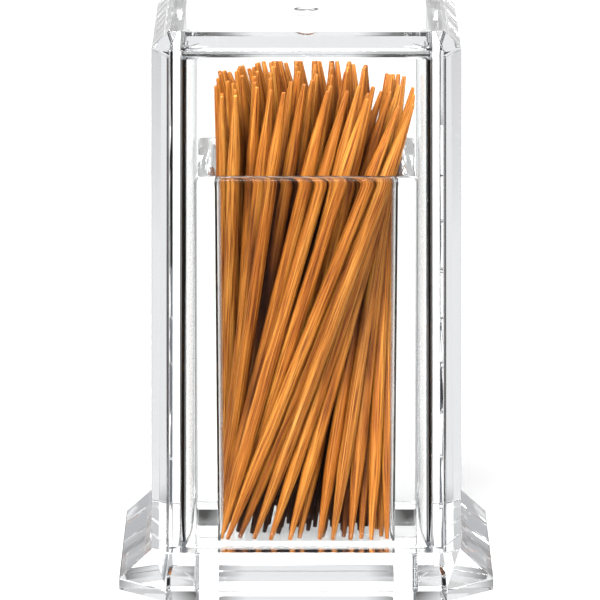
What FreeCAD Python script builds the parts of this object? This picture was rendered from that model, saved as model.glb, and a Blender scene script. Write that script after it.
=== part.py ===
import FreeCAD, Part
import math
import os
import random

import Sketcher

# A clear acrylic toothpick dispenser. A bevelled foot carries a thick square cup, the cup
# holds a twisted bundle of double-pointed bamboo toothpicks, and a thick square cover lifts
# off straight up. Millimetres, +Z up, +Y to the back. The origin is at the centre of the
# foot's underside.

doc = FreeCAD.newDocument("toothpick_dispenser")

# Driving dimensions, one cell each
SIZES = [
    # Cover: a thick box, open below, drafted a little so that it leaves its mould
    ("cover_width", 42.8),
    ("cover_draft", 0.35),
    ("cover_corner", 2.45),
    ("rim_bevel_inset", 2.4),
    ("rim_bevel_drop", 2.35),
    ("cover_wall", 3.85),
    ("cover_roof", 3.7),
    ("cavity_corner_radius", 2.55),
    ("cavity_roof_radius", 0.9),
    ("gate_mark_diameter", 3.3),
    ("gate_mark_depth", 0.3),
    # Foot: an octagonal slab with a short upright edge and a bevel up to the cover's outline
    ("foot_overhang", 4.5),
    ("foot_corner", 6.55),
    ("foot_edge_height", 1.65),
    ("foot_height", 5.75),
    # Cup: a thick square sleeve bonded to the foot, whose bore widens up to a rounded mouth
    ("cup_gap", 2.0),
    ("cup_height", 51.8),
    ("cup_wall", 3.25),
    ("bore_draft", 0.3),
    ("cup_edge_radius", 0.8),
    ("cup_mouth_radius", 1.75),
    ("bore_corner_radius", 0.9),
    # Toothpicks, and the room between their heads and the cover's ceiling
    ("pick_length", 65.0),
    ("pick_diameter", 1.8),
    ("pick_tip_diameter", 0.55),
    ("pick_taper", 10.0),
    ("pick_headroom", 3.75),
    # How the bundle lies: the least gaps inside it, to the bore and to the cover, the space
    # between the feet, and the turn and spread of the heads at one height above the foot
    ("pick_gap", 0.06),
    ("bore_gap", 0.12),
    ("cover_gap", 0.6),
    ("foot_spacing", 0.65),
    ("bundle_turn", 85.0),
    ("bundle_spread", 1.15),
    ("lean_height", 60.0),
]

# Cells that follow from the driving ones. The limits keep a bevel or a fillet smaller than
# the corner or the wall that it is cut from.
FOLLOWING = [
    ("foot_width", "cover_width + 2 * foot_overhang"),
    ("cover_width_high", "cover_width - 2 * cover_draft"),
    ("cavity_width", "cover_width - 2 * cover_wall"),
    ("cavity_width_high", "cover_width_high - 2 * cover_wall"),
    ("cup_width", "cavity_width - 2 * cup_gap"),
    ("bore_width", "cup_width - 2 * cup_wall"),
    ("bore_width_high", "bore_width + 2 * bore_draft"),
    ("rim_wall", "cup_wall - bore_draft"),
    ("ceiling", "foot_height + pick_length + pick_headroom"),
    ("cover_top", "ceiling + cover_roof"),
    ("shoulder", "cover_top - rim_bevel_drop"),
    ("top_width", "cover_width_high - 2 * rim_bevel_inset"),
    ("top_corner", "max(cover_corner - (2 - sqrt(2)) * rim_bevel_inset; 0.4 * cover_corner)"),
    ("cup_top", "foot_height + cup_height"),
    ("edge_round", "min(cup_edge_radius; 0.3 * rim_wall)"),
    ("mouth_round", "min(cup_mouth_radius; 0.6 * rim_wall)"),
]

sheet = doc.addObject("Spreadsheet::Sheet", "sizes")
cells = [(alias, str(value)) for alias, value in SIZES]
cells += [(alias, "=" + formula) for alias, formula in FOLLOWING]
for number, (alias, content) in enumerate(cells, start=1):
    sheet.set("A%d" % number, alias)
    sheet.set("B%d" % number, content)
    sheet.setAlias("B%d" % number, alias)
doc.recompute()
size_of = {alias: float(sheet.get(alias)) for alias, _ in cells}


def origin_plane(body, role):
    """One of a body's own origin planes, found by its role."""
    return [part for part in body.Origin.OriginFeatures if part.Role == role][0]


def new_sketch(body, name, height=None):
    """A sketch flat on the body's XY plane, lifted to the height in a cell."""
    sketch = body.newObject("Sketcher::SketchObject", name)
    sketch.AttachmentSupport = [(origin_plane(body, "XY_Plane"), "")]
    sketch.MapMode = "FlatFace"
    if height:
        sketch.setExpression("AttachmentOffset.Base.z", "sizes." + height)
    return sketch


def bind(sketch, kind, ends, name, expression):
    """A named dimension of a sketch, bound to an expression of the sheet's cells."""
    first, second = sketch.getPoint(*ends[:2]), sketch.getPoint(*ends[2:])
    length = second.x - first.x if kind == "DistanceX" else second.y - first.y
    number = sketch.addConstraint(Sketcher.Constraint(kind, *ends, length))
    sketch.renameConstraint(number, name)
    sketch.setExpression("Constraints." + name, expression)


def draw_outline(sketch, width, corner=None):
    """A square about the origin, or an octagon where a cell says how much each corner loses."""
    half = size_of[width] / 2
    flat = half - (size_of[corner] if corner else 0)
    if corner:
        points = [(-flat, -half), (flat, -half), (half, -flat), (half, flat),
                  (flat, half), (-flat, half), (-half, flat), (-half, -flat)]
        mirrored = [(0, 1), (2, 7), (3, 6), (4, 5)]
        stacked = [(1, 4), (2, 3)]
    else:
        points = [(-half, -half), (half, -half), (half, half), (-half, half)]
        mirrored = [(0, 1), (3, 2)]
        stacked = [(1, 2)]
    count = len(points)
    for index in range(count):
        a, b = points[index], points[(index + 1) % count]
        sketch.addGeometry(Part.LineSegment(FreeCAD.Vector(*a, 0), FreeCAD.Vector(*b, 0)))
    for index in range(count):
        sketch.addConstraint(Sketcher.Constraint("Coincident", index, 2, (index + 1) % count, 1))
    # Line number -1 is the sketch's X axis and -2 its Y axis
    for a, b in mirrored:
        sketch.addConstraint(Sketcher.Constraint("Symmetric", a, 1, b, 1, -2))
    for a, b in stacked:
        sketch.addConstraint(Sketcher.Constraint("Symmetric", a, 1, b, 1, -1))
    left, right, top = (7, 2, 4) if corner else (0, 1, 2)
    bind(sketch, "DistanceX", (left, 1, right, 1), "width_x", "sizes." + width)
    bind(sketch, "DistanceY", (1, 1, top, 1), "width_y", "sizes." + width)
    if corner:
        flat_width = "sizes.%s - 2 * sizes.%s" % (width, corner)
        bind(sketch, "DistanceX", (0, 1, 1, 1), "flat_x", flat_width)
        bind(sketch, "DistanceY", (2, 1, 3, 1), "flat_y", flat_width)


def extrude(body, kind, name, sketch, length):
    """A pad or a pocket of a sketch, as long as one cell says."""
    feature = body.newObject(kind, name)
    feature.Profile = sketch
    feature.setExpression("Length", "sizes." + length)
    doc.recompute()
    return feature


def loft(body, kind, name, lower, upper):
    """A straight-sided loft between two outlines, added to the body or cut from it."""
    feature = body.newObject(kind, name)
    feature.Profile = lower
    feature.Sections = [upper]
    feature.Ruled = True
    doc.recompute()
    return feature


def round_edges(body, name, radius, wanted):
    """A fillet of each edge of the body whose middle and direction pass a test."""
    rounded = body.Tip
    edges = []
    for number, edge in enumerate(rounded.Shape.Edges, start=1):
        middle = edge.valueAt((edge.FirstParameter + edge.LastParameter) / 2)
        along = edge.Vertexes[-1].Point - edge.Vertexes[0].Point
        if along.Length > 0 and wanted(middle, along.normalize()):
            edges.append("Edge%d" % number)
    fillet = body.newObject("PartDesign::Fillet", name)
    fillet.Base = (rounded, edges)
    fillet.setExpression("Radius", "sizes." + radius)
    doc.recompute()


def must_cut(body, before, what):
    """Stop the build where a cut has removed nothing."""
    if body.Shape.Volume >= before - 1e-6:
        raise RuntimeError("%s cuts nothing" % what)


def from_axis(point):
    """How far a point is from the Z axis, measured square to the nearest side."""
    return max(abs(point.x), abs(point.y))


def make_foot():
    """The slab that everything stands on, in one piece."""
    body = doc.addObject("PartDesign::Body", "base")
    underside = new_sketch(body, "underside")
    draw_outline(underside, "foot_width", "foot_corner")
    extrude(body, "PartDesign::Pad", "upright_edge", underside, "foot_edge_height")
    lower = new_sketch(body, "bevel_foot", "foot_edge_height")
    draw_outline(lower, "foot_width", "foot_corner")
    upper = new_sketch(body, "bevel_top", "foot_height")
    draw_outline(upper, "cover_width", "cover_corner")
    loft(body, "PartDesign::AdditiveLoft", "bevel", lower, upper)


def make_cup():
    """The sleeve that holds the toothpicks: a square tube with rounded edges and mouth."""
    body = doc.addObject("PartDesign::Body", "cup")
    outline = new_sketch(body, "outline", "foot_height")
    draw_outline(outline, "cup_width")
    block = extrude(body, "PartDesign::Pad", "block", outline, "cup_height")
    solid_volume = block.Shape.Volume
    bore_foot = new_sketch(body, "bore_foot", "foot_height")
    draw_outline(bore_foot, "bore_width")
    bore_mouth = new_sketch(body, "bore_mouth", "cup_top")
    draw_outline(bore_mouth, "bore_width_high")
    loft(body, "PartDesign::SubtractiveLoft", "bore", bore_foot, bore_mouth)
    must_cut(body, solid_volume, "the bore")
    wall_middle = (size_of["cup_width"] + size_of["bore_width_high"]) / 4

    def outer_corner(middle, along):
        return abs(along.z) > 0.99 and from_axis(middle) > wall_middle

    def inner_corner(middle, along):
        return abs(along.z) > 0.99 and from_axis(middle) < wall_middle

    def mouth_edge(middle, along):
        return abs(middle.z - size_of["cup_top"]) < 0.01 and from_axis(middle) < wall_middle

    def rim_edge(middle, along):
        return abs(middle.z - size_of["cup_top"]) < 0.01 and from_axis(middle) > wall_middle

    round_edges(body, "outer_corners", "edge_round", outer_corner)
    round_edges(body, "bore_corners", "bore_corner_radius", inner_corner)
    round_edges(body, "mouth", "mouth_round", mouth_edge)
    round_edges(body, "rim", "edge_round", rim_edge)


def make_cover():
    """The cover: a drafted octagonal block with a bevelled top, hollowed from below."""
    body = doc.addObject("PartDesign::Body", "cover")
    low = new_sketch(body, "open_end", "foot_height")
    draw_outline(low, "cover_width", "cover_corner")
    high = new_sketch(body, "walls_top", "shoulder")
    draw_outline(high, "cover_width_high", "cover_corner")
    loft(body, "PartDesign::AdditiveLoft", "walls", low, high)
    bevel_low = new_sketch(body, "bevel_low", "shoulder")
    draw_outline(bevel_low, "cover_width_high", "cover_corner")
    bevel_high = new_sketch(body, "bevel_high", "cover_top")
    draw_outline(bevel_high, "top_width", "top_corner")
    loft(body, "PartDesign::AdditiveLoft", "top_bevel", bevel_low, bevel_high)
    solid_volume = body.Shape.Volume
    mouth = new_sketch(body, "cavity_mouth", "foot_height")
    draw_outline(mouth, "cavity_width")
    roof = new_sketch(body, "cavity_roof", "ceiling")
    draw_outline(roof, "cavity_width_high")
    loft(body, "PartDesign::SubtractiveLoft", "cavity", mouth, roof)
    must_cut(body, solid_volume, "the cavity")
    wall_middle = (size_of["cover_width_high"] + size_of["cavity_width_high"]) / 4

    def cavity_corner(middle, along):
        return abs(along.z) > 0.9 and from_axis(middle) < wall_middle

    def ceiling_edge(middle, along):
        return abs(middle.z - size_of["ceiling"]) < 0.01

    round_edges(body, "cavity_corners", "cavity_corner_radius", cavity_corner)
    round_edges(body, "cavity_roof_edge", "cavity_roof_radius", ceiling_edge)
    hollow_volume = body.Shape.Volume
    mark = new_sketch(body, "gate_mark_outline", "cover_top")
    radius = size_of["gate_mark_diameter"] / 2
    mark.addGeometry(Part.Circle(FreeCAD.Vector(0, 0, 0), FreeCAD.Vector(0, 0, 1), radius))
    mark.addConstraint(Sketcher.Constraint("Coincident", 0, 3, -1, 1))
    mark.addConstraint(Sketcher.Constraint("Diameter", 0, 2 * radius))
    mark.renameConstraint(1, "diameter")
    mark.setExpression("Constraints.diameter", "sizes.gate_mark_diameter")
    extrude(body, "PartDesign::Pocket", "gate_mark", mark, "gate_mark_depth")
    must_cut(body, hollow_volume, "the gate mark")


# Where the toothpicks that show most stand and lean. Each row is one toothpick: the place of
# its foot on the cup's floor and of its axis at lean_height above the floor, x then y for each,
# as shares of the bore's half width at the foot. The first group stands along the front wall
# and leans right or back, the second stands along the left wall and leans forward.
FRONT_FEET = [
    (-0.93, -0.85, 0.48, -0.66), (-0.84, -0.92, 1.00, -0.66), (-0.70, -0.92, 1.20, -0.64),
    (-0.48, -0.92, 1.22, -0.34), (-0.30, -0.92, 1.18, -0.10), (-0.08, -0.92, 1.12, 0.16),
    (0.18, -0.92, 0.99, 0.40), (0.43, -0.92, 1.03, 0.62), (0.58, -0.92, 1.04, 0.86),
    (0.78, -0.92, 0.88, 0.98), (0.91, -0.92, 0.96, 0.74),
]
LEFT_FEET = [
    (-0.91, 0.86, -0.99, -0.66), (-0.91, 0.69, -0.97, -0.80), (-0.91, 0.53, -0.82, -0.82),
    (-0.91, 0.36, -0.59, -0.76), (-0.91, 0.19, -0.38, -0.82), (-0.91, 0.02, -0.16, -0.66),
    (-0.91, -0.15, 0.02, -0.70), (-0.91, -0.33, 0.23, -0.80), (-0.89, -0.51, 0.64, -0.45),
    (-0.87, -0.68, 0.83, -0.42),
]

# The other toothpicks start in staggered rows and are named in this many groups, front to back
ROW_GROUPS = 10
# How easily a placed toothpick gives way, where the others count as 1
PLACED_WEIGHT = 0.15
# How far the others start from their row, as shares of a toothpick's diameter
FOOT_SCATTER, HEAD_SCATTER = 0.16, 0.43
# Levels are shares of lean_height. The bundle is narrowest at its neck.
NECK = 0.45
# Where the tapered ends are tested, besides the level where two toothpicks are closest
TIP_LEVELS = [0.0, 0.06, 0.12, 0.18, 0.85, 0.91, 0.97, 1.03]
# Settling: the most sweeps, the sweeps between two lists of neighbours, the share of an
# overlap that one push mends, and how close a neighbour is, in diameters
SWEEPS, RELIST, PUSH, NEIGHBOUR = 300, 20, 0.8, 1.85


class Pick:
    """One toothpick's axis, as two places in plan: on the floor and at lean_height."""

    def __init__(self, foot, head, weight=1.0):
        self.foot, self.head, self.weight = foot, head, weight

    def at(self, level):
        """The axis in plan at a level."""
        return self.foot * (1 - level) + self.head * level

    def lean(self):
        """The angle between the axis and straight up."""
        return math.atan(abs(self.head - self.foot) / size_of["lean_height"])

    def radius(self, level):
        """The toothpick's radius at a level, or 0 past its ends."""
        along = level * size_of["lean_height"] / math.cos(self.lean())
        from_tip = min(along, size_of["pick_length"] - along)
        if from_tip < 0:
            return 0.0
        tip, full = size_of["pick_tip_diameter"] / 2, size_of["pick_diameter"] / 2
        return tip + (full - tip) * min(1.0, from_tip / size_of["pick_taper"])

    def push(self, level, step):
        """Move the axis by a step at one level, sharing it between foot and head."""
        share = (1 - level) ** 2 + level ** 2
        self.foot += step * (1 - level) / share
        self.head += step * level / share


def least_gap(first, second):
    """The least gap between two toothpicks, its level, and the way from second to first.

    The gap is measured square to their mean direction, so it is less than in plan where one
    lies along the other's lean.
    """
    slope = (first.head - first.foot + second.head - second.foot) / (2 * size_of["lean_height"])
    slope /= math.sqrt(1 + abs(slope) ** 2)

    def product(a, b):
        return dot(a, b) - dot(a, slope) * dot(b, slope)

    start, end = first.at(0) - second.at(0), first.at(1) - second.at(1)
    change = end - start
    spread = product(change, change)
    closest = -product(start, change) / spread if spread > 1e-9 else 0.5
    least = (math.inf, 0.0, 0j)
    for level in TIP_LEVELS + [max(TIP_LEVELS[0], min(TIP_LEVELS[-1], closest))]:
        radii = first.radius(level), second.radius(level)
        apart = start + change * level
        gap = math.sqrt(max(0.0, product(apart, apart))) - sum(radii)
        if min(radii) > 0 and gap < least[0]:
            least = gap, level, apart
    return least


def dot(a, b):
    """The scalar product of two places in plan."""
    return a.real * b.real + a.imag * b.imag


def pulled_in(place, limit, corner):
    """The nearest place inside a square of half width limit with rounded corners."""
    x, y = max(-limit, min(limit, place.real)), max(-limit, min(limit, place.imag))
    middle = complex(math.copysign(limit - corner, x), math.copysign(limit - corner, y))
    past = complex(x, y) - middle
    in_corner = abs(x) > limit - corner and abs(y) > limit - corner
    if in_corner and abs(past) > corner:
        return middle + past * corner / abs(past)
    return complex(x, y)


def walls_around(pick):
    """Where the walls hold a toothpick: the level, half width and corner of each limit."""
    slant = 1 / math.cos(pick.lean())
    full, tip = size_of["pick_diameter"] / 2 * slant, size_of["pick_tip_diameter"] / 2 * slant
    top, taper = size_of["pick_length"] / slant, size_of["pick_taper"] / slant
    mouth = min(top, size_of["cup_height"] - size_of["mouth_round"])
    limits = []
    for height, radius in ((0, tip), (taper, full), (mouth, full), (top - taper, full), (top, tip)):
        if height <= mouth:
            half = size_of["bore_width"] / 2 + size_of["bore_draft"] * height / size_of["cup_height"]
            corner, inset = size_of["bore_corner_radius"], radius + size_of["bore_gap"]
        else:
            half = size_of["cavity_width_high"] / 2
            corner = max(size_of["cavity_corner_radius"], size_of["cavity_roof_radius"])
            inset = radius + size_of["cover_gap"]
        limits.append((height / size_of["lean_height"], half - inset, max(0.0, corner - inset)))
    return limits


def settle(picks):
    """Push toothpicks apart and off the walls, then leave out any that found no room."""
    wanted, reach = size_of["pick_gap"], NEIGHBOUR * size_of["pick_diameter"]
    neighbours = []
    for sweep in range(SWEEPS):
        if sweep % RELIST == 0:
            neighbours = [
                (a, b) for i, a in enumerate(picks) for b in picks[:i]
                if min(abs(a.at(level) - b.at(level)) for level in (0, 0.25, 0.5, 0.75, 1)) < reach]
        worst = wanted
        for a, b in neighbours:
            gap, level, apart = least_gap(a, b)
            if gap >= wanted:
                continue
            worst = min(worst, gap)
            step = (apart / abs(apart) if apart else 1) * (wanted - gap) * PUSH
            share = a.weight / (a.weight + b.weight)
            a.push(level, step * share)
            b.push(level, -step * (1 - share))
        for pick in picks:
            for level, limit, corner in walls_around(pick):
                place = pick.at(level)
                pick.push(level, pulled_in(place, limit, corner) - place)
        if worst > wanted / 3 and sweep > RELIST:
            break
    kept = []
    for pick in picks:
        held = all(abs(pulled_in(pick.at(level), limit, corner) - pick.at(level)) < wanted
                   for level, limit, corner in walls_around(pick))
        if held and all(least_gap(pick, other)[0] > 0 for other in kept):
            kept.append(pick)
    print("toothpicks", len(kept), "of", len(picks), "after", sweep + 1, "sweeps")
    return kept


def place_bundle():
    """Every toothpick's axis, in named groups."""
    half_bore = size_of["bore_width"] / 2
    front, left = [
        [Pick(complex(a, b) * half_bore, complex(c, d) * half_bore, PLACED_WEIGHT)
         for a, b, c, d in places] for places in (FRONT_FEET, LEFT_FEET)]
    turn = math.radians(size_of["bundle_turn"])
    twist = size_of["bundle_spread"] * complex(math.cos(turn), math.sin(turn))
    diameter = size_of["pick_diameter"]
    pitch = diameter + size_of["foot_spacing"]
    row_pitch = pitch * math.sqrt(3) / 2
    reach = half_bore - diameter / 2
    chance = random.Random(5)

    def scatter(share):
        return complex(chance.uniform(-share, share), chance.uniform(-share, share)) * diameter

    others = []
    columns = int(reach / pitch) + 1
    for row in range(int(2 * reach / row_pitch) + 1):
        for column in range(-columns, columns + 1):
            foot = complex((column + row % 2 / 2) * pitch, row * row_pitch - reach)
            pick = Pick(foot, foot * twist)
            crowded = any(abs(pick.at(NECK) - placed.at(NECK)) < pitch / 2 for placed in front + left)
            if abs(foot.real) <= reach and not crowded:
                pick.foot += scatter(FOOT_SCATTER)
                pick.head += scatter(HEAD_SCATTER)
                others.append(pick)
    kept = settle(front + left + others)
    groups = {"toothpicks_front": [pick for pick in front if pick in kept],
              "toothpicks_left": [pick for pick in left if pick in kept]}
    rows = sorted((pick for pick in others if pick in kept), key=lambda pick: pick.foot.imag)
    for number, pick in enumerate(rows):
        group = "toothpicks_row_%02d" % (number * ROW_GROUPS // len(rows) + 1)
        groups.setdefault(group, []).append(pick)
    return groups


def pick_solid():
    """One toothpick on the Z axis: a round stick that tapers to a small flat at both ends."""
    tip, full = size_of["pick_tip_diameter"] / 2, size_of["pick_diameter"] / 2
    length, taper = size_of["pick_length"], size_of["pick_taper"]
    profile = [(0, 0), (tip, 0), (full, taper), (full, length - taper), (tip, length), (0, length)]
    points = [FreeCAD.Vector(x, 0, z) for x, z in profile]
    face = Part.Face(Part.makePolygon(points + points[:1]))
    return face.revolve(FreeCAD.Vector(0, 0, 0), FreeCAD.Vector(0, 0, 1), 360)


def make_toothpicks():
    """The bundle, with one group of separate solids for each named group. Returns the names."""
    stick = pick_solid()
    groups = place_bundle()
    for name, picks in groups.items():
        solids = []
        for pick in picks:
            # A leaning tip is lifted so that the low side of its flat end clears the floor
            lift = size_of["pick_tip_diameter"] / 2 * math.sin(pick.lean()) + size_of["pick_gap"] / 3
            foot = FreeCAD.Vector(pick.foot.real, pick.foot.imag, size_of["foot_height"] + lift)
            across = pick.head - pick.foot
            axis = FreeCAD.Vector(across.real, across.imag, size_of["lean_height"])
            solid = stick.copy()
            solid.Placement = FreeCAD.Placement(
                foot, FreeCAD.Rotation(FreeCAD.Vector(0, 0, 1), axis))
            solids.append(solid)
        feature = doc.addObject("Part::Feature", name)
        feature.Shape = Part.makeCompound(solids)
    return list(groups)


make_foot()
make_cup()
make_cover()
nodes = ["base", "cup", "cover"] + make_toothpicks()
doc.recompute()

for item in doc.Objects:
    if "Invalid" in item.State or "Error" in item.State:
        raise RuntimeError("%s did not build: %s" % (item.Name, item.State))

os.makedirs("parts", exist_ok=True)
for name in nodes:
    item = doc.getObject(name)
    item.Label = name
    if item.Shape.isNull() or not item.Shape.isValid():
        raise RuntimeError("%s has no valid shape" % name)
    item.Shape.exportStep("parts/%s.step" % name)
    box = item.Shape.BoundBox
    print("%-20s solids %3d  volume %9.2f  z %.2f to %.2f" % (
        name, len(item.Shape.Solids), item.Shape.Volume, box.ZMin, box.ZMax))
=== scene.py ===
# %% [markdown]
# A clear toothpick dispenser, dressed for its photograph.
#
# Three acrylic mouldings and about a hundred bamboo toothpicks. The exact solids come from
# the CAD frame. This lesson builds finer meshes of the same pieces at the same places:
# acrylic whose edges are softly rounded, because clear plastic is drawn by its edges, and
# toothpicks with grain and cut ends. A name that ends in MM is in millimetres, and other
# lengths are in metres.

# %% Load the frame
import math

import bpy
import numpy as np
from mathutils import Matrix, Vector


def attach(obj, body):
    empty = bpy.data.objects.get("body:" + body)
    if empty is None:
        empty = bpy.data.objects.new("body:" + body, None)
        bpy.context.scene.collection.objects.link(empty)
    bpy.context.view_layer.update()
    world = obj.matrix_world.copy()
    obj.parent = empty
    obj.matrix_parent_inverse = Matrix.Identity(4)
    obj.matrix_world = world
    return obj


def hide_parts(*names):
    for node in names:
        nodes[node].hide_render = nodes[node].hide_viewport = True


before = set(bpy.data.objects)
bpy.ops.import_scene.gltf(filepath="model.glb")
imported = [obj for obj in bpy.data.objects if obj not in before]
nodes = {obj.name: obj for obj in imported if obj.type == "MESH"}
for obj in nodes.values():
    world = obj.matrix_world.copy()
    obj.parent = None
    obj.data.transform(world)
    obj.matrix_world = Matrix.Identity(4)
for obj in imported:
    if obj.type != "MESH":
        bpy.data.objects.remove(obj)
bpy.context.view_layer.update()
MM = 0.001

# %% [markdown]
# A clear moulding is a stack of level outlines. It could be a box with a Bevel modifier, but
# that gives all edges one width, and here each edge has its own. Each outline is a square with
# its corners cut or rounded, so one function can draw them all: eight straight sides, four
# square to the axes and four diagonal, with an arc of one radius where two sides meet. A
# rounded square is the case where the arcs of a corner share their centre, and a circle is the
# case where all eight do. Every outline has the same number of points, so any two can be
# joined.

# %% Outlines
ARC_POINTS = 13


def outline(half, diagonal, radius, height):
    """Points of one level outline. half is the distance from the axis to the straight sides
    and diagonal to the corner sides. Each of the eight arcs turns 45 degrees about the point
    that lies one radius inside both of the sides that it joins."""
    inner, slant = half - radius, (diagonal - radius) * math.sqrt(2)
    quarter, turn = np.meshgrid(np.arange(4) * np.pi / 2, [0, 1], indexing="ij")
    sweep = np.linspace(0, np.pi / 4, ARC_POINTS)
    angle = turn[..., None] * np.pi / 4 + sweep
    centre_x = np.where(turn == 0, inner, slant - inner)[..., None]
    centre_y = np.where(turn == 0, slant - inner, inner)[..., None]
    x, y = centre_x + radius * np.cos(angle), centre_y + radius * np.sin(angle)
    cos, sin = np.cos(quarter)[..., None], np.sin(quarter)[..., None]
    points = np.stack([x * cos - y * sin, x * sin + y * cos], -1).reshape(-1, 2)
    return np.column_stack([points, np.full(len(points), height)])


print("an outline has", len(outline(1.0, 1.0, 1.0, 0.0)), "points")

# %% [markdown]
# Clear plastic is drawn by its edges, because a rounded edge bends the view of what lies behind
# it. So each corner of a moulding's profile becomes a short curve. The arc of a circle would be
# exact, but needs the angle between the two sides. A parabola needs only the two points where
# it starts and ends, and at this size the two look alike.

# %% Rounded edges
EDGE_STEPS = 5
MOST_OF_A_SIDE = 0.49


def softened(profile):
    """A profile whose corners are rounded. Each row is half, diagonal, radius, height and how
    far from the corner its curve starts. The curve is a parabola through the corner's two
    cut-back points, with the corner as its middle control point."""
    rows = np.array(profile, float)
    share = np.linspace(0, 1, EDGE_STEPS)[:, None]
    made = [rows[:1, :4]]
    for before, corner, after in zip(rows[:-2], rows[1:-1], rows[2:]):
        if corner[4] <= 0:
            made.append(corner[None, :4])
            continue
        ends = []
        for other in (before, after):
            apart = math.hypot(other[0] - corner[0], other[3] - corner[3])
            cut = min(corner[4] / apart, MOST_OF_A_SIDE)
            ends.append(corner[:4] + (other - corner)[:4] * cut)
        made.append((1 - share) ** 2 * ends[0] + 2 * share * (1 - share) * corner[:4]
                    + share ** 2 * ends[1])
    made.append(rows[-1:, :4])
    return np.concatenate(made)


print("a rounded edge has", EDGE_STEPS, "outlines")

# %% [markdown]
# A hollow moulding could be cut from a block with Boolean modifiers, but they leave long thin
# triangles that shade badly. Joining the outlines in order, over the outside and through the
# hollow, gives one closed mesh of clean quads instead.

# %% Closed shells
FLAT_FACE_WEIGHT = 100


def new_piece(name, vertices, faces, body, material, replaced):
    """A mesh object in the row frame that rides on a CAD body and stands for its nodes."""
    mesh = bpy.data.meshes.new(name)
    mesh.from_pydata(vertices, [], faces)
    mesh.update()
    mesh.polygons.foreach_set("use_smooth", [True] * len(mesh.polygons))
    mesh.materials.append(material)
    piece = bpy.data.objects.new(name, mesh)
    bpy.context.scene.collection.objects.link(piece)
    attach(piece, body)
    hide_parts(*replaced)
    return piece


def tube_faces(rings, around, first=0):
    """The faces of a closed tube: quads between each ring of points and the next, and one flat
    face over each end. first is the number of the tube's first point."""
    level, step = np.meshgrid(np.arange(rings - 1), np.arange(around), indexing="ij")
    following = (step + 1) % around
    quads = np.stack([level * around + step, level * around + following,
                      (level + 1) * around + following, (level + 1) * around + step], -1)
    ends = np.stack([np.arange(around)[::-1], np.arange(around) + (rings - 1) * around])
    return (quads.reshape(-1, 4) + first).tolist() + (ends + first).tolist()


def shell(name, profile, body, material, replaced):
    """A closed moulding: the outlines of a profile joined in order, with a flat face over the
    first and the last. Weighted normals keep the large faces flat beside the rounded edges."""
    loops = np.array([outline(*row) for row in profile]) * MM
    faces = tube_faces(*loops.shape[:2])
    piece = new_piece(name, loops.reshape(-1, 3), faces, body, material, replaced)
    weighted = piece.modifiers.new("flat_faces", "WEIGHTED_NORMAL")
    weighted.weight = FLAT_FACE_WEIGHT
    print(name, len(faces), "faces")


# %% [markdown]
# The solids in the frame are exact, so the sizes of the finer meshes are read from them where
# they can be: the points at one height give the half width and the cut of the corners there.
# What can't be told from those points, such as the arc of a corner, is a named value.

# %% Measure the mouldings on the frame
ANY_REACH_MM = (0.0, 99.0)
LEVEL_WITHIN_MM = 0.02


def points_of(node):
    """The corners of a CAD node's mesh, in millimetres."""
    mesh = nodes[node].data
    found = np.zeros(len(mesh.vertices) * 3, np.float32)
    mesh.vertices.foreach_get("co", found)
    return found.reshape(-1, 3).astype(float) / MM


def section(node, height, reach=ANY_REACH_MM):
    """The half width and the diagonal distance of a node's outline at one height, among the
    corners whose larger distance from the axis lies within reach."""
    points = np.abs(points_of(node))
    square = points[:, :2].max(1)
    level = np.abs(points[:, 2] - height) < LEVEL_WITHIN_MM
    found = points[level & (square > reach[0]) & (square < reach[1])]
    return found[:, :2].max(), found[:, :2].sum(1).max() / math.sqrt(2)


for name in ("base", "cup", "cover"):
    heights = points_of(name)[:, 2]
    print(name, "stands from", round(heights.min(), 2), "to", round(heights.max(), 2), "mm")

# %% [markdown]
# A material is a tree of nodes. Five short helpers keep the trees below readable. They feed a
# socket, work out a sum, mix two colours, start a node group and place a group in a tree.

# %% Helpers for node trees
def feed(tree, socket, value):
    """Link a socket to another one, or set it to a plain value."""
    if isinstance(value, bpy.types.NodeSocket):
        tree.links.new(value, socket)
    else:
        socket.default_value = value


def maths(tree, operation, first, second=0.0):
    """The result of a Math node."""
    node = tree.nodes.new("ShaderNodeMath")
    node.operation = operation
    feed(tree, node.inputs[0], first)
    feed(tree, node.inputs[1], second)
    return node.outputs["Value"]


def mixed(tree, kind, factor, first, second):
    """The result of a Mix node for colours."""
    node = tree.nodes.new("ShaderNodeMix")
    node.data_type = "RGBA"
    node.blend_type = kind
    for name, value in (("Factor", factor), ("A", first), ("B", second)):
        feed(tree, next(s for s in node.inputs if s.name == name and s.enabled), value)
    return next(s for s in node.outputs if s.enabled)


def new_group(name, inputs, outputs):
    """An empty node group with its input and output nodes. Each socket has a name and a
    kind, Float or Vector."""
    group = bpy.data.node_groups.new(name, "ShaderNodeTree")
    for way, sockets in (("INPUT", inputs), ("OUTPUT", outputs)):
        for label, kind in sockets:
            group.interface.new_socket(label, in_out=way, socket_type="NodeSocket" + kind)
    return group, group.nodes.new("NodeGroupInput"), group.nodes.new("NodeGroupOutput")


def use_group(tree, group, **values):
    """A node that uses a group, with its inputs fed by name."""
    node = tree.nodes.new("ShaderNodeGroup")
    node.node_tree = group
    for label, value in values.items():
        feed(tree, node.inputs[label], value)
    return node


# %% [markdown]
# Acrylic bends light and hides little, so its colour is almost white and its index of
# refraction, 1.49, does the work. Lamps could only reach the toothpicks by way of bent paths,
# which render slowly and with noise, so for lamp rays alone the acrylic is mixed with a
# Transparent shader that lets most of the light straight through. A moulded face is never
# quite flat: its slow waves are a node group, because every moulding has them.

# %% Acrylic
ACRYLIC_COLOUR = (0.985, 0.992, 0.99, 1.0)
ACRYLIC_INDEX = 1.49
WAVES_PER_METRE = 90.0
WAVE_HEIGHT = 2e-6
WAVE_DETAIL = 1.0
LIGHT_THROUGH_COVER, LIGHT_THROUGH_STAND = 0.95, 0.9


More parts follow.
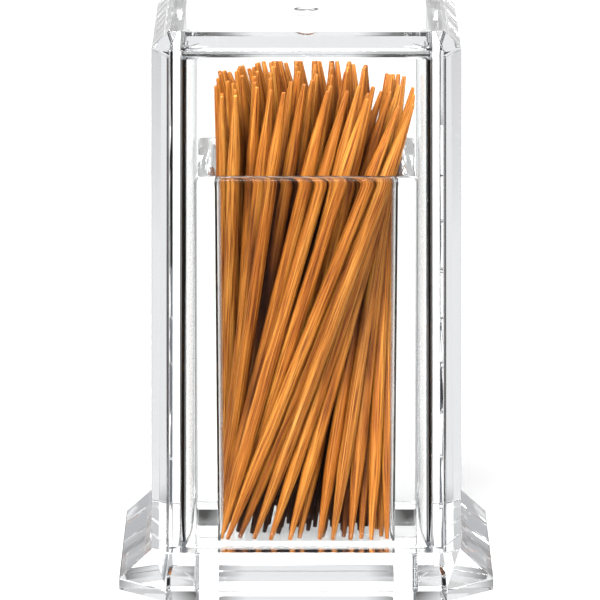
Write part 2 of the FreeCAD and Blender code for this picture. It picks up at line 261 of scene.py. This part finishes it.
def waves_group():
    """Slow waves on a moulded face: noise of the place on the object, as a bumped normal."""
    group, start, end = new_group(
        "moulded_waves", [("Scale", "Float"), ("Height", "Float")], [("Normal", "Vector")])
    place = group.nodes.new("ShaderNodeTexCoord")
    noise = group.nodes.new("ShaderNodeTexNoise")
    noise.inputs["Detail"].default_value = WAVE_DETAIL
    bump = group.nodes.new("ShaderNodeBump")
    bump.inputs["Strength"].default_value = 1.0
    feed(group, noise.inputs["Vector"], place.outputs["Object"])
    feed(group, noise.inputs["Scale"], start.outputs["Scale"])
    feed(group, bump.inputs["Height"], noise.outputs["Fac"])
    feed(group, bump.inputs["Distance"], start.outputs["Height"])
    feed(group, end.inputs["Normal"], bump.outputs["Normal"])
    return group


WAVES = waves_group()


def acrylic(name, shade):
    """Clear plastic. shade is the share of lamp light that each face lets through."""
    material = bpy.data.materials.new(name)
    material.use_nodes = True
    tree = material.node_tree
    clear = tree.nodes["Principled BSDF"]
    clear.inputs["Base Color"].default_value = ACRYLIC_COLOUR
    clear.inputs["Roughness"].default_value = 0.0
    clear.inputs["IOR"].default_value = ACRYLIC_INDEX
    clear.inputs["Transmission Weight"].default_value = 1.0
    waves = use_group(tree, WAVES, Scale=WAVES_PER_METRE, Height=WAVE_HEIGHT)
    feed(tree, clear.inputs["Normal"], waves.outputs["Normal"])
    path = tree.nodes.new("ShaderNodeLightPath")
    through = tree.nodes.new("ShaderNodeBsdfTransparent")
    through.inputs["Color"].default_value = (shade, shade, shade, 1.0)
    mix = tree.nodes.new("ShaderNodeMixShader")
    feed(tree, mix.inputs["Fac"], path.outputs["Is Shadow Ray"])
    feed(tree, mix.inputs[1], clear.outputs["BSDF"])
    feed(tree, mix.inputs[2], through.outputs["BSDF"])
    feed(tree, tree.nodes["Material Output"].inputs["Surface"], mix.outputs["Shader"])
    print(name, "lets", shade, "of the lamp light through each face")
    return material


COVER_ACRYLIC = acrylic("clear_cover_acrylic", LIGHT_THROUGH_COVER)
STAND_ACRYLIC = acrylic("clear_stand_acrylic", LIGHT_THROUGH_STAND)

# %% [markdown]
# The stand is the foot with the cup bonded to it. They could be two meshes that touch, but
# light would then be bent at faces that a bond of clear cement doesn't have. So one closed
# mesh stands for both CAD nodes: it starts under the foot, climbs the outside, and goes over
# the cup's mouth and down the bore to the cup's floor.

# %% Stand
EDGE_MM = 0.18
ROOT_MM = 0.1
CUP_OUTER_ARC_MM = 0.8
BORE_ARC_MM = 0.9
BORE_DRAFT_MM = 0.3
MOUTH_ARC_MM = 1.75
LEAST_WALL_MM = 2.0
UNDERSIDE_INSET_MM, UNDERSIDE_ARC_MM = 2.0, 0.3
FLOOR_INSET_MM = 1.0


def round_square(half, radius):
    """Half width, diagonal distance and corner radius of a square whose corners are arcs of
    that radius. The diagonal reaches the arc's centre and then one radius more."""
    return half, math.sqrt(2) * (half - radius) + radius, radius


base_z = points_of("base")[:, 2]
edge_z, foot_top_z = np.unique(np.round(base_z, 3))[1], base_z.max()
cup_top_z = points_of("cup")[:, 2].max()
foot_half, foot_diagonal = section("base", 0.0)
top_half, top_diagonal = section("base", foot_top_z)
cup_half = section("cup", foot_top_z)[0]
bore_half = section("cup", foot_top_z, (0.0, cup_half - LEAST_WALL_MM))[0]
mouth_half = bore_half + BORE_DRAFT_MM
stand_profile = [
    (foot_half - UNDERSIDE_INSET_MM, foot_diagonal - UNDERSIDE_INSET_MM, UNDERSIDE_ARC_MM, 0, 0),
    (foot_half, foot_diagonal, EDGE_MM, 0, EDGE_MM),
    (foot_half, foot_diagonal, EDGE_MM, edge_z, EDGE_MM),
    (top_half, top_diagonal, EDGE_MM, foot_top_z, EDGE_MM),
    (*round_square(cup_half, CUP_OUTER_ARC_MM), foot_top_z, ROOT_MM),
    (*round_square(cup_half, CUP_OUTER_ARC_MM), cup_top_z, CUP_OUTER_ARC_MM),
    (*round_square(mouth_half, BORE_ARC_MM), cup_top_z, MOUTH_ARC_MM),
    (*round_square(bore_half, BORE_ARC_MM), foot_top_z, ROOT_MM),
    (*round_square(bore_half - FLOOR_INSET_MM, BORE_ARC_MM), foot_top_z, 0),
]
print("foot half width", round(foot_half, 2), "edge height", edge_z, "bore", round(bore_half, 2))
shell("clear_stand", softened(stand_profile), "holder", STAND_ACRYLIC, ["base", "cup"])

# %% [markdown]
# The cover is a box with walls almost 4 mm thick. Outside, its upright edges are cut flat and
# a broad bevel leads to the top. Inside, its corners and the ceiling's edge are round. The
# round mark in the middle of the top is where the mould was filled. A Solidify modifier would
# give the inside the outside's corners, so the profile goes down the cavity and up the outside
# with corners of their own. It starts a hair above the foot, so that the cover and the foot
# don't share a face, which a renderer can't tell apart.

# %% Cover
COVER_LIFT_GAP_MM = 0.03
CAVITY_CORNER_MM = 2.55
CAVITY_ROOF_MM = 0.45
CEILING_INSET_MM = 2.0
ROOF_MM = 3.7
TOP_BEVEL_MM = 2.35
GATE_RADIUS_MM, GATE_DEPTH_MM = 1.65, 0.3
GATE_WALL_MM, GATE_EDGE_MM, GATE_CENTRE_MM = 0.1, 0.1, 0.5
cover_z = points_of("cover")[:, 2]
cover_low_z, cover_top_z = cover_z.min(), cover_z.max()
ceiling_z, shoulder_z = cover_top_z - ROOF_MM, cover_top_z - TOP_BEVEL_MM
low_half, low_diagonal = section("cover", cover_low_z)
high_half, high_diagonal = section("cover", shoulder_z)
flat_half, flat_diagonal = section("cover", cover_top_z)
cavity_low = section("cover", cover_low_z, (0.0, low_half - LEAST_WALL_MM))[0]
cavity_high = cavity_low - (low_half - high_half)
bottom_z = cover_low_z + COVER_LIFT_GAP_MM
gate_z = cover_top_z - GATE_DEPTH_MM
gate_mouth, gate_floor = [GATE_RADIUS_MM] * 3, [GATE_RADIUS_MM - GATE_WALL_MM] * 3
cover_profile = [
    (*round_square(cavity_high - CEILING_INSET_MM, CAVITY_CORNER_MM), ceiling_z, 0),
    (*round_square(cavity_high, CAVITY_CORNER_MM), ceiling_z, CAVITY_ROOF_MM),
    (*round_square(cavity_low, CAVITY_CORNER_MM), bottom_z, EDGE_MM),
    (low_half, low_diagonal, EDGE_MM, bottom_z, EDGE_MM),
    (high_half, high_diagonal, EDGE_MM, shoulder_z, EDGE_MM),
    (flat_half, flat_diagonal, EDGE_MM, cover_top_z, EDGE_MM),
    (*gate_mouth, cover_top_z, GATE_EDGE_MM),
    (*gate_floor, gate_z, GATE_EDGE_MM),
    (*[GATE_CENTRE_MM] * 3, gate_z, 0),
]
print("cover half widths", round(low_half, 2), round(high_half, 2), round(flat_half, 2))
print("cavity half widths", round(cavity_low, 2), round(cavity_high, 2))
shell("clear_cover", softened(cover_profile), "lid", COVER_ACRYLIC, ["cover"])

# %% [markdown]
# Each toothpick is a round stick, turned to a point at both ends and cut off blunt. The solids
# in the frame stand in the right places, but they are perfectly straight and smooth and have
# no UV map for the grain. So each one is only measured: the longest direction of its corners
# is its axis, and a new mesh is made round that axis further down.

# %% Find the toothpicks in the frame
def split_solids(node):
    """The corners of each separate solid of a node. Corners at one place share a number, and
    every triangle passes its lowest number on until nothing changes."""
    mesh = nodes[node].data
    mesh.calc_loop_triangles()
    corners = np.zeros(len(mesh.loop_triangles) * 3, np.int32)
    mesh.loop_triangles.foreach_get("vertices", corners)
    points = points_of(node)
    places, number = np.unique(np.round(points, 4), axis=0, return_inverse=True)
    triangles = number.reshape(-1)[corners].reshape(-1, 3)
    label = np.arange(len(places))
    while True:
        lowest = label[triangles].min(1)
        changed = label.copy()
        np.minimum.at(changed, triangles, lowest[:, None])
        changed = changed[changed]
        if (changed == label).all():
            break
        label = changed
    return [places[label == one] for one in np.unique(label)]


def axis_of(points):
    """The lower and the upper end of a stick's axis, from its corners' longest direction."""
    centre = points.mean(0)
    along = np.linalg.svd(points - centre, full_matrices=False)[2][0]
    along = along * np.sign(along[2])
    reach = (points - centre) @ along
    return centre + along * reach.min(), centre + along * reach.max()


found = {node: [axis_of(solid) for solid in split_solids(node)]
         for node in sorted(nodes.keys()) if node.startswith("toothpicks")}
axes = np.array([pair for pairs in found.values() for pair in pairs])
print(len(axes), "toothpicks in", len(found), "nodes")

# %% [markdown]
# Bamboo is a bundle of fibres, so its colour runs in long thin streaks. They could be noise on
# Object coordinates that is stretched upwards, but the sticks lean, and the streaks would then
# run off their sides. So the noise is read from each stick's own UV map: across it in
# millimetres round the girth, and along it in millimetres of length.

# %% Streaks and ramps
STICK_MAP, STICK_TONE_AND_SHADE = "girth_and_length", "tone_and_shade"


def node_ramp(tree, stops):
    """A colour ramp with the given stops of place and colour."""
    ramp = tree.nodes.new("ShaderNodeValToRGB")
    ramp.color_ramp.elements.remove(ramp.color_ramp.elements[1])
    ramp.color_ramp.elements[0].position = stops[0][0]
    ramp.color_ramp.elements[0].color = (*stops[0][1], 1.0)
    for place, colour in stops[1:]:
        ramp.color_ramp.elements.new(place).color = (*colour, 1.0)
    return ramp


def streaks(tree, source, per_mm, detail):
    """Noise on the UV map, finer across the stick than along it."""
    scale = tree.nodes.new("ShaderNodeMapping")
    scale.inputs["Scale"].default_value = (*per_mm, 1.0)
    noise = tree.nodes.new("ShaderNodeTexNoise")
    noise.inputs["Scale"].default_value = 1.0
    noise.inputs["Detail"].default_value = detail
    feed(tree, scale.inputs["Vector"], source)
    feed(tree, noise.inputs["Vector"], scale.outputs["Vector"])
    return noise.outputs["Fac"]


# %% [markdown]
# Two layers of streaks make the wood: the cane's slow change from straw to brown, and the fine
# dark fibres on top of it. One colour for all would look like plastic, because no two sticks
# are cut from the same cane, so each stick's tone comes from an attribute on its points. The
# same attribute also carries the painted shade of the stick's depth in the bundle.

# %% Bamboo
FIBRES_PER_MM, FIBRE_DETAIL = (6.0, 0.12), 4.0
CANES_PER_MM, CANE_DETAIL = (1.6, 0.045), 2.0
BODY_STOPS = [(0.26, (0.34, 0.088, 0.008)), (0.42, (0.62, 0.20, 0.024)),
              (0.58, (0.80, 0.31, 0.044)), (0.78, (0.90, 0.45, 0.10))]
LINE_STOPS = [(0.36, (0.22, 0.09, 0.03)), (0.47, (0.74, 0.61, 0.48)), (0.57, (1.0, 1.0, 1.0))]
LINE_STRENGTH = 0.9
BAMBOO_ROUGHNESS, BAMBOO_SHINE = 0.55, 0.35
GRAIN_DEPTH, GRAIN_STRENGTH = 0.00006, 0.6


def bamboo(name):
    """Split bamboo: the cane's slow change of colour, times the fine dark fibres, times the
    stick's own tone and the painted shade of its depth in the bundle. The fibres also stand a
    little proud."""
    material = bpy.data.materials.new(name)
    material.use_nodes = True
    tree = material.node_tree
    wood = tree.nodes["Principled BSDF"]
    uv = tree.nodes.new("ShaderNodeUVMap")
    uv.uv_map = STICK_MAP
    tone_and_shade = tree.nodes.new("ShaderNodeAttribute")
    tone_and_shade.attribute_name = STICK_TONE_AND_SHADE
    fibre = streaks(tree, uv.outputs["UV"], FIBRES_PER_MM, FIBRE_DETAIL)
    cane = streaks(tree, uv.outputs["UV"], CANES_PER_MM, CANE_DETAIL)
    body = node_ramp(tree, BODY_STOPS)
    feed(tree, body.inputs["Fac"], cane)
    lines = node_ramp(tree, LINE_STOPS)
    feed(tree, lines.inputs["Fac"], fibre)
    colour = mixed(tree, "MULTIPLY", LINE_STRENGTH, body.outputs["Color"], lines.outputs["Color"])
    colour = mixed(tree, "MULTIPLY", 1.0, colour, tone_and_shade.outputs["Color"])
    feed(tree, wood.inputs["Base Color"], colour)
    wood.inputs["Roughness"].default_value = BAMBOO_ROUGHNESS
    wood.inputs["Specular IOR Level"].default_value = BAMBOO_SHINE
    bump = tree.nodes.new("ShaderNodeBump")
    bump.inputs["Distance"].default_value = GRAIN_DEPTH
    bump.inputs["Strength"].default_value = GRAIN_STRENGTH
    feed(tree, bump.inputs["Height"], fibre)
    feed(tree, wood.inputs["Normal"], bump.outputs["Normal"])
    return material


BAMBOO = bamboo("split_bamboo")
print(BAMBOO.name, "has", len(BAMBOO.node_tree.nodes), "nodes")

# %% [markdown]
# A real toothpick is milled from split bamboo, so its section isn't quite round, it bows a
# little, and its tapers start unevenly. A Displace modifier could roughen a cylinder, but
# wouldn't know where a taper starts. So one function works out all the points of a stick, as a
# grid of places along it and angles round it.

# %% The shape of a toothpick
PICK_RADIUS_MM, TIP_RADIUS_MM = 0.9, 0.275
TAPER_MM, TAPER_POWER = 10.0, 0.92
WANDER_MM = (0.7, 0.4)
OUT_OF_ROUND = (0.025, 0.02)
TWIST_PER_MM = 0.05
BOW_MM = 0.10
CUT_MM, CUT_SHARE = 0.06, 0.82
PHASES = (0, 6)


def stick_points(foot, tip, place, angle, own):
    """The points of one toothpick. The radius is full along the middle and falls off over
    each end's taper; a few slow waves round the girth and along the stick keep it from being
    a perfect cylinder. place is the distance along it and angle the turn round it."""
    length = np.linalg.norm(tip - foot)
    along = (tip - foot) / length
    side = np.cross(along, [0.0, 1.0, 0.0])
    side /= np.linalg.norm(side)
    other = np.cross(along, side)
    s, a = np.meshgrid(place, angle, indexing="ij")
    from_end = np.minimum(s, length - s)
    start = (TAPER_MM + WANDER_MM[0] * np.sin(a + own.uniform(*PHASES))
             + WANDER_MM[1] * np.sin(2 * a + own.uniform(*PHASES)))
    share = np.clip(from_end / start, 0, 1)
    radius = TIP_RADIUS_MM + (PICK_RADIUS_MM - TIP_RADIUS_MM) * share ** TAPER_POWER
    radius = radius * (1 + OUT_OF_ROUND[0] * np.sin(3 * a + own.uniform(*PHASES))
                       + OUT_OF_ROUND[1] * np.sin(2 * a + s * TWIST_PER_MM + own.uniform(*PHASES)))
    radius = np.where(from_end < CUT_MM, radius * CUT_SHARE, radius)
    bow = BOW_MM * np.sin(np.pi * s / length) * own.uniform(-1, 1)
    x = radius * np.cos(a) + bow
    y = radius * np.sin(a)
    return foot + s[..., None] * along + x[..., None] * side + y[..., None] * other


# %% [markdown]
# Blender's own unwrapping would lay each stick out at a size and turn of its choice. The grain
# needs millimetres, so the map is worked out from the same grid as the points. The rings stand
# close together at the ends, where the shape changes, and far apart along the middle.

# %% One toothpick with its map
END_RINGS_MM = np.array([0.0, 0.12, 0.8, 2.2, 3.8, 5.4, 7.0, 8.4, 9.4, 10.2, 11.5])
MIDDLE_FROM_MM, MIDDLE_RINGS = 15, 9
AROUND = 24
MAP_SHIFT_MM, CUT_END_MAP_MM = 200, 0.2


def stick_map(place, angle, own):
    """The UV of every face corner, in millimetres: the way round the girth and the way along
    the stick, shifted so that no two sticks share their grain. A cut end is a small disc."""
    shift = own.uniform(0, MAP_SHIFT_MM, 2)
    girth = 2 * np.pi * PICK_RADIUS_MM / AROUND
    level, step = np.meshgrid(np.arange(len(place) - 1), np.arange(AROUND), indexing="ij")
    u = step + np.array([0, 1, 1, 0])[:, None, None]
    v = level + np.array([0, 0, 1, 1])[:, None, None]
    sides = np.stack([u * girth + shift[0], place[v] + shift[1]], -1)
    sides = sides.transpose(1, 2, 0, 3).reshape(-1, 2)
    disc = np.stack([np.cos(angle), np.sin(angle)], -1) * CUT_END_MAP_MM + shift
    return np.concatenate([sides, disc[::-1], disc])


def stick(foot, tip, seed):
    """The points of one toothpick between two ends, ring by ring, and its UVs."""
    own = np.random.default_rng(seed)
    length = np.linalg.norm(tip - foot)
    middle = np.linspace(MIDDLE_FROM_MM, length - MIDDLE_FROM_MM, MIDDLE_RINGS)
    place = np.concatenate([END_RINGS_MM, middle, length - END_RINGS_MM[::-1]])
    angle = np.arange(AROUND) / AROUND * 2 * np.pi
    points = stick_points(foot, tip, place, angle, own).reshape(-1, 3)
    return points, stick_map(place, angle, own)


print("a toothpick has", len(stick(*axes[0], 0)[0]), "points")

# %% [markdown]
# Light fades quickly between packed sticks. It could be left to the lamps, but they shine
# through the acrylic unbent and light the inner sticks too well, so each point also gets a
# shade from its depth in the bundle. The depth is measured from the outer sticks of all four
# sides, so it holds from any view. The tips stand free and stay light.

# %% Depth in the bundle
OUTER_SHARE = 0.93
HEIGHT_STEPS = 60
BRIGHT_DEPTH_MM, DARK_DEPTH_MM = 0.6, 2.5
DARK_SHARE = 0.07
LIT_TIPS_MM, FULLY_LIT_MM = 13.0, 4.0
TIP_LIGHT = 0.95
SIDES = np.array([[1, 0], [-1, 0], [0, 1], [0, -1]])
feet, tips = axes[:, 0], axes[:, 1]
bundle_top = tips[:, 2].max()
bundle_heights = np.linspace(feet[:, 2].max(), tips[:, 2].min(), HEIGHT_STEPS)
climbed = (bundle_heights[:, None] - feet[:, 2]) / (tips - feet)[:, 2]
crossings = feet[:, :2] + climbed[..., None] * (tips - feet)[:, :2]
bundle_reach = np.quantile(crossings @ SIDES.T, OUTER_SHARE, axis=1) + PICK_RADIUS_MM
print("the bundle reaches", bundle_reach.mean(0).round(2), "mm to its four sides")


def light_at(points):
    """How much light reaches each point: all of it at the outside, little in the bundle's
    depth, and most of it again at the tips."""
    across = points[:, :2] @ SIDES.T
    reach = [np.interp(points[:, 2], bundle_heights, side) for side in bundle_reach.T]
    depth = (np.array(reach).T - across).min(1)
    shade = np.interp(depth, [BRIGHT_DEPTH_MM, DARK_DEPTH_MM], [1.0, DARK_SHARE])
    lit_from, lit_to = bundle_top - LIT_TIPS_MM, bundle_top - FULLY_LIT_MM
    free = np.interp(points[:, 2], [lit_from, lit_to], [0.0, TIP_LIGHT])
    return shade + (1 - shade) * free


# %% [markdown]
# A hundred objects would be slow to handle, so the toothpicks of one CAD node become one mesh,
# and so one piece. Its faces are numbered on from stick to stick. A colour attribute holds each
# stick's tone, its shade, and the paler wood of its cut ends.

# %% All the toothpicks
TONES = [(1.0, 1.0, 1.0), (0.95, 0.92, 0.86), (1.07, 1.05, 1.0), (0.88, 0.83, 0.74),
         (1.02, 1.08, 1.25)]
TONE_SPREAD = (0.94, 1.06)
CUT_END_TONE = 1.35
WARM_SHADE = np.array([0.9, 1.08, 1.25])
SHARP_DEG = 40
TONE_SEED, SEEDS_PER_NODE = 11, 100
chance = np.random.default_rng(TONE_SEED)


def stick_tone_and_shade(points):
    """The colour of each point of one toothpick: the stick's own tint, times the light that
    reaches the point, where the shade is warmer than the light. The first and the last ring
    are the cut ends."""
    tint = np.array(TONES[chance.integers(len(TONES))]) * chance.uniform(*TONE_SPREAD)
    tone_and_shade = np.ones((len(points), 4))
    # Painted shade: the tint is darkened by depth in the bundle and lightened again at the tips.
    tone_and_shade[:, :3] = tint * light_at(points)[:, None] ** WARM_SHADE
    tone_and_shade[:AROUND, :3] *= CUT_END_TONE
    tone_and_shade[-AROUND:, :3] *= CUT_END_TONE
    return tone_and_shade


def toothpicks(node, number, ends):
    """One piece with all the toothpicks of a CAD node."""
    vertices, faces, maps, tones_and_shades = [], [], [], []
    for index, (foot, tip) in enumerate(ends):
        points, own_map = stick(foot, tip, SEEDS_PER_NODE * number + index)
        faces += tube_faces(len(points) // AROUND, AROUND, index * len(points))
        vertices.append(points)
        maps.append(own_map)
        tones_and_shades.append(stick_tone_and_shade(points))
    name = node.replace("toothpicks", "bamboo")
    piece = new_piece(name, np.concatenate(vertices) * MM, faces, "holder", BAMBOO, [node])
    mesh = piece.data
    layer = mesh.uv_layers.new(name=STICK_MAP)
    layer.data.foreach_set("uv", np.concatenate(maps).ravel())
    attribute = mesh.color_attributes.new(STICK_TONE_AND_SHADE, "FLOAT_COLOR", "POINT")
    attribute.data.foreach_set("color", np.concatenate(tones_and_shades).ravel())
    mesh.set_sharp_from_angle(angle=math.radians(SHARP_DEG))
    print(name, len(ends), "toothpicks")


for number, (node, ends) in enumerate(found.items()):
    toothpicks(node, number, ends)

# %% [markdown]
# The studio is white all round, so that the acrylic shows by its edges alone. Real product
# pictures get their black edge lines from dark cards to the left and right. Two dark planes
# would do the same here, but they would also be seen through the acrylic from the side. So the
# cards are part of the surroundings that only mirrored rays see, and the acrylic stays clear
# when it is looked through from any side.

# %% Which rays see the cards
WHITE = (1.0, 1.0, 1.0, 1.0)
CARD_FROM_DEG = 25.0
CARD_EDGE = 0.04
MIRRORED_ONCE = 0.5


def card_group():
    """Where a ray meets a dark card: its compass angle from the back is over the limit, on
    either side, and it was mirrored on its way."""
    group, start, end = new_group(
        "side_cards", [("Direction", "Vector"), ("Mirrored", "Float")], [("Card", "Float")])
    flat = group.nodes.new("ShaderNodeVectorMath")
    flat.operation = "MULTIPLY"
    flat.inputs[1].default_value = (1.0, 1.0, 0.0)
    unit = group.nodes.new("ShaderNodeVectorMath")
    unit.operation = "NORMALIZE"
    parts = group.nodes.new("ShaderNodeSeparateXYZ")
    feed(group, flat.inputs[0], start.outputs["Direction"])
    feed(group, unit.inputs[0], flat.outputs["Vector"])
    feed(group, parts.inputs["Vector"], unit.outputs["Vector"])
    edge = math.cos(math.radians(CARD_FROM_DEG))
    step = group.nodes.new("ShaderNodeMapRange")
    step.inputs["From Min"].default_value = edge + CARD_EDGE
    step.inputs["From Max"].default_value = edge - CARD_EDGE
    feed(group, step.inputs["Value"], parts.outputs["Y"])
    card = maths(group, "MULTIPLY", step.outputs["Result"], start.outputs["Mirrored"])
    feed(group, end.inputs["Card"], card)
    return group


CARDS = card_group()


def ray_kinds(tree):
    """Three masks of the ray that looks: 1 where it lights a rough surface, where it was
    mirrored on its way, and where it came through acrylic."""
    path = tree.nodes.new("ShaderNodeLightPath")
    lights = path.outputs["Is Diffuse Ray"]
    mirrored = maths(tree, "GREATER_THAN", path.outputs["Glossy Depth"], MIRRORED_ONCE)
    mirrored = maths(tree, "MULTIPLY", mirrored, maths(tree, "SUBTRACT", 1.0, lights))
    return lights, mirrored, path.outputs["Is Transmission Ray"]


print("the cards start", CARD_FROM_DEG, "degrees to either side of the back")

# %% [markdown]
# The world is the white backdrop. It could light the object as well, but light from all round
# leaves no shade between the toothpicks, so it hardly lights them and the lamps do.

# %% World
CARD_ABOVE = (0.16, 0.17, 0.19, 1.0)
WORLD_LIGHT = 0.08
SEEN_THROUGH = 0.25


def make_world():
    """White for rays that look at it, dim for rays that light a surface, and dark where a
    mirrored ray meets a card. What is seen through acrylic is raised by the light that the
    faces in front of it turn back."""
    world = bpy.data.worlds.new("white_studio")
    world.use_nodes = True
    bpy.context.scene.world = world
    tree = world.node_tree
    background = tree.nodes["Background"]
    place = tree.nodes.new("ShaderNodeTexCoord")
    lights, mirrored, through = ray_kinds(tree)
    card = use_group(tree, CARDS, Direction=place.outputs["Generated"], Mirrored=mirrored)
    colour = mixed(tree, "MIX", card.outputs["Card"], WHITE, CARD_ABOVE)
    feed(tree, background.inputs["Color"], colour)
    raised = maths(tree, "ADD", maths(tree, "MULTIPLY", through, SEEN_THROUGH), 1.0)
    dimmed = maths(tree, "MULTIPLY", lights, 1.0 - WORLD_LIGHT)
    feed(tree, background.inputs["Strength"], maths(tree, "SUBTRACT", raised, dimmed))
    print("world lights at", WORLD_LIGHT, "of what is seen")


make_world()

# %% [markdown]
# The floor is white paper on a table. The acrylic mirrors it many times, and the shade under
# the foot and the dark cards beside it are what draws the edges. Real shade would need light
# that is traced through the acrylic, which takes far too long. So the shade and the cards are
# colours of the floor that mirrored rays alone see, in tuned rings round the object.

# %% Floor paper
FLOOR_COLOUR = (0.93, 0.93, 0.93, 1.0)
FLOOR_ROUGHNESS = 0.9
FLOOR_GLOW = 0.4
# Painted shade: the floor as mirrored rays see it is greyer, and darker still under the foot.
FLOOR_MIRRORED_SHADE = (0.90, 0.905, 0.92, 1.0)
PAINTED_SHADE_UNDER_FOOT = (0.10, 0.097, 0.094, 1.0)
CARD_ON_FLOOR = (0.01, 0.01, 0.01, 1.0)
UNDER_FOOT, FAR_FROM_FOOT, CARD_FADE = 0.029, 0.041, 0.003


def floor_material():
    """White paper that takes the object's shadow and has a little light of its own for rays
    that look at it. A mirrored ray sees it greyer, a painted shade, and to the sides it sees
    the painted shade under the foot, then a pale ring, and the cards from there on."""
    material = bpy.data.materials.new("white_floor")
    material.use_nodes = True
    tree = material.node_tree
    paper = tree.nodes["Principled BSDF"]
    paper.inputs["Base Color"].default_value = FLOOR_COLOUR
    paper.inputs["Roughness"].default_value = FLOOR_ROUGHNESS
    paper.inputs["Specular IOR Level"].default_value = 0.0
    paper.inputs["Emission Color"].default_value = WHITE
    place = tree.nodes.new("ShaderNodeTexCoord")
    lights, mirrored, through = ray_kinds(tree)
    looks = maths(tree, "MULTIPLY", maths(tree, "SUBTRACT", 1.0, lights), FLOOR_GLOW)
    raised = maths(tree, "MULTIPLY", through, SEEN_THROUGH)
    feed(tree, paper.inputs["Emission Strength"], maths(tree, "ADD", looks, raised))
    away = tree.nodes.new("ShaderNodeVectorMath")
    away.operation = "LENGTH"
    feed(tree, away.inputs[0], place.outputs["Object"])
    shade = PAINTED_SHADE_UNDER_FOOT
    for start, beyond in ((UNDER_FOOT, FLOOR_MIRRORED_SHADE), (FAR_FROM_FOOT, CARD_ON_FLOOR)):
        ring = tree.nodes.new("ShaderNodeMapRange")
        ring.inputs["From Min"].default_value = start
        ring.inputs["From Max"].default_value = start + CARD_FADE
        feed(tree, ring.inputs["Value"], away.outputs["Value"])
        shade = mixed(tree, "MIX", ring.outputs["Result"], shade, beyond)
    card = use_group(tree, CARDS, Direction=place.outputs["Object"], Mirrored=mirrored)
    shade = mixed(tree, "MIX", card.outputs["Card"], FLOOR_MIRRORED_SHADE, shade)
    seen = tree.nodes.new("ShaderNodeEmission")
    feed(tree, seen.inputs["Color"], shade)
    mix = tree.nodes.new("ShaderNodeMixShader")
    feed(tree, mix.inputs["Fac"], mirrored)
    feed(tree, mix.inputs[1], paper.outputs["BSDF"])
    feed(tree, mix.inputs[2], seen.outputs["Emission"])
    feed(tree, tree.nodes["Material Output"].inputs["Surface"], mix.outputs["Shader"])
    print(material.name, "has", len(tree.nodes), "nodes")
    return material


PAPER = floor_material()

# %% [markdown]
# The floor lies a hair below the foot, because a foot that touched the paper would share its
# face with it, and the acrylic's underside would be lost.

# %% Floor
FLOOR_SIZE = 6.0
FLOOR_GAP = 0.00005


def make_floor():
    """A wide level grid of four quads, a hair below the foot."""
    steps = np.linspace(-FLOOR_SIZE / 2, FLOOR_SIZE / 2, 3)
    x, y = np.meshgrid(steps, steps, indexing="ij")
    points = np.stack([x, y, np.full_like(x, -FLOOR_GAP)], -1).reshape(-1, 3)
    corner = np.arange(4) + np.arange(4) // 2
    faces = np.stack([corner, corner + 3, corner + 4, corner + 1], -1).tolist()
    mesh = bpy.data.meshes.new("studio_floor")
    mesh.from_pydata(points, [], faces)
    mesh.materials.append(PAPER)
    floor = bpy.data.objects.new("studio_floor", mesh)
    bpy.context.scene.collection.objects.link(floor)
    print("floor of", len(mesh.polygons), "quads")


make_floor()

# %% [markdown]
# The key lamp stands high at the front left, wide enough for soft shadows that fall behind the
# object. Light from all round would be simpler, but would leave the bundle flat. A weak fill
# keeps the right side readable, and a lamp at the back lights that side.

# %% Lamps
LAMP_TARGET = (0.0, 0.0, 0.04)


def soft_lamp(name, place, size, power):
    """A round lamp of one diameter in metres and power in watts, aimed at the object."""
    lamp = bpy.data.lights.new(name, "AREA")
    lamp.shape = "DISK"
    lamp.size = size
    lamp.energy = power
    holder = bpy.data.objects.new(name, lamp)
    bpy.context.scene.collection.objects.link(holder)
    holder.location = place
    direction = Vector(LAMP_TARGET) - Vector(place)
    holder.rotation_euler = direction.to_track_quat("-Z", "Y").to_euler()
    print("lamp", name, power, "W")


soft_lamp("key", (-0.45, -1.3, 1.6), 1.0, 43.0)
soft_lamp("fill", (1.3, -1.3, 1.0), 1.2, 2.0)
soft_lamp("back", (0.5, 1.5, 1.2), 1.2, 9.0)

# %% [markdown]
# The picture was taken from well back with a long lens, a little above the object, which keeps
# the upright edges almost parallel. A shorter lens nearer by would frame it as well, but make
# the top look wider than the foot. Clear pieces within clear pieces need many bounces, while
# one bounce between the toothpicks leaves their gaps dark.

# %% Camera
LENS_MM = 375.96
SENSOR_MM = 36.0
PITCH_DEG = 12.014
DISTANCE = 0.878
TARGET = (-0.00087, 0.0, 0.0369)
CLIP = (0.01, 20.0)
ACRYLIC_BOUNCES, MIRROR_BOUNCES, BAMBOO_BOUNCES = 32, 24, 1
camera = bpy.data.objects.new("camera", bpy.data.cameras.new("camera"))
bpy.context.scene.collection.objects.link(camera)
camera.data.lens = LENS_MM
camera.data.sensor_width = SENSOR_MM
pitch = math.radians(PITCH_DEG)
camera.location = (TARGET[0], TARGET[1] - DISTANCE * math.cos(pitch),
                   TARGET[2] + DISTANCE * math.sin(pitch))
camera.rotation_euler = (math.pi / 2 - pitch, 0, 0)
camera.data.clip_start, camera.data.clip_end = CLIP
scene = bpy.context.scene
scene.camera = camera
scene.view_settings.view_transform = "Standard"
scene.cycles.max_bounces = ACRYLIC_BOUNCES
scene.cycles.transmission_bounces = ACRYLIC_BOUNCES
scene.cycles.transparent_max_bounces = ACRYLIC_BOUNCES
scene.cycles.glossy_bounces = MIRROR_BOUNCES
scene.cycles.diffuse_bounces = BAMBOO_BOUNCES
print("camera at", [round(value, 3) for value in camera.location])
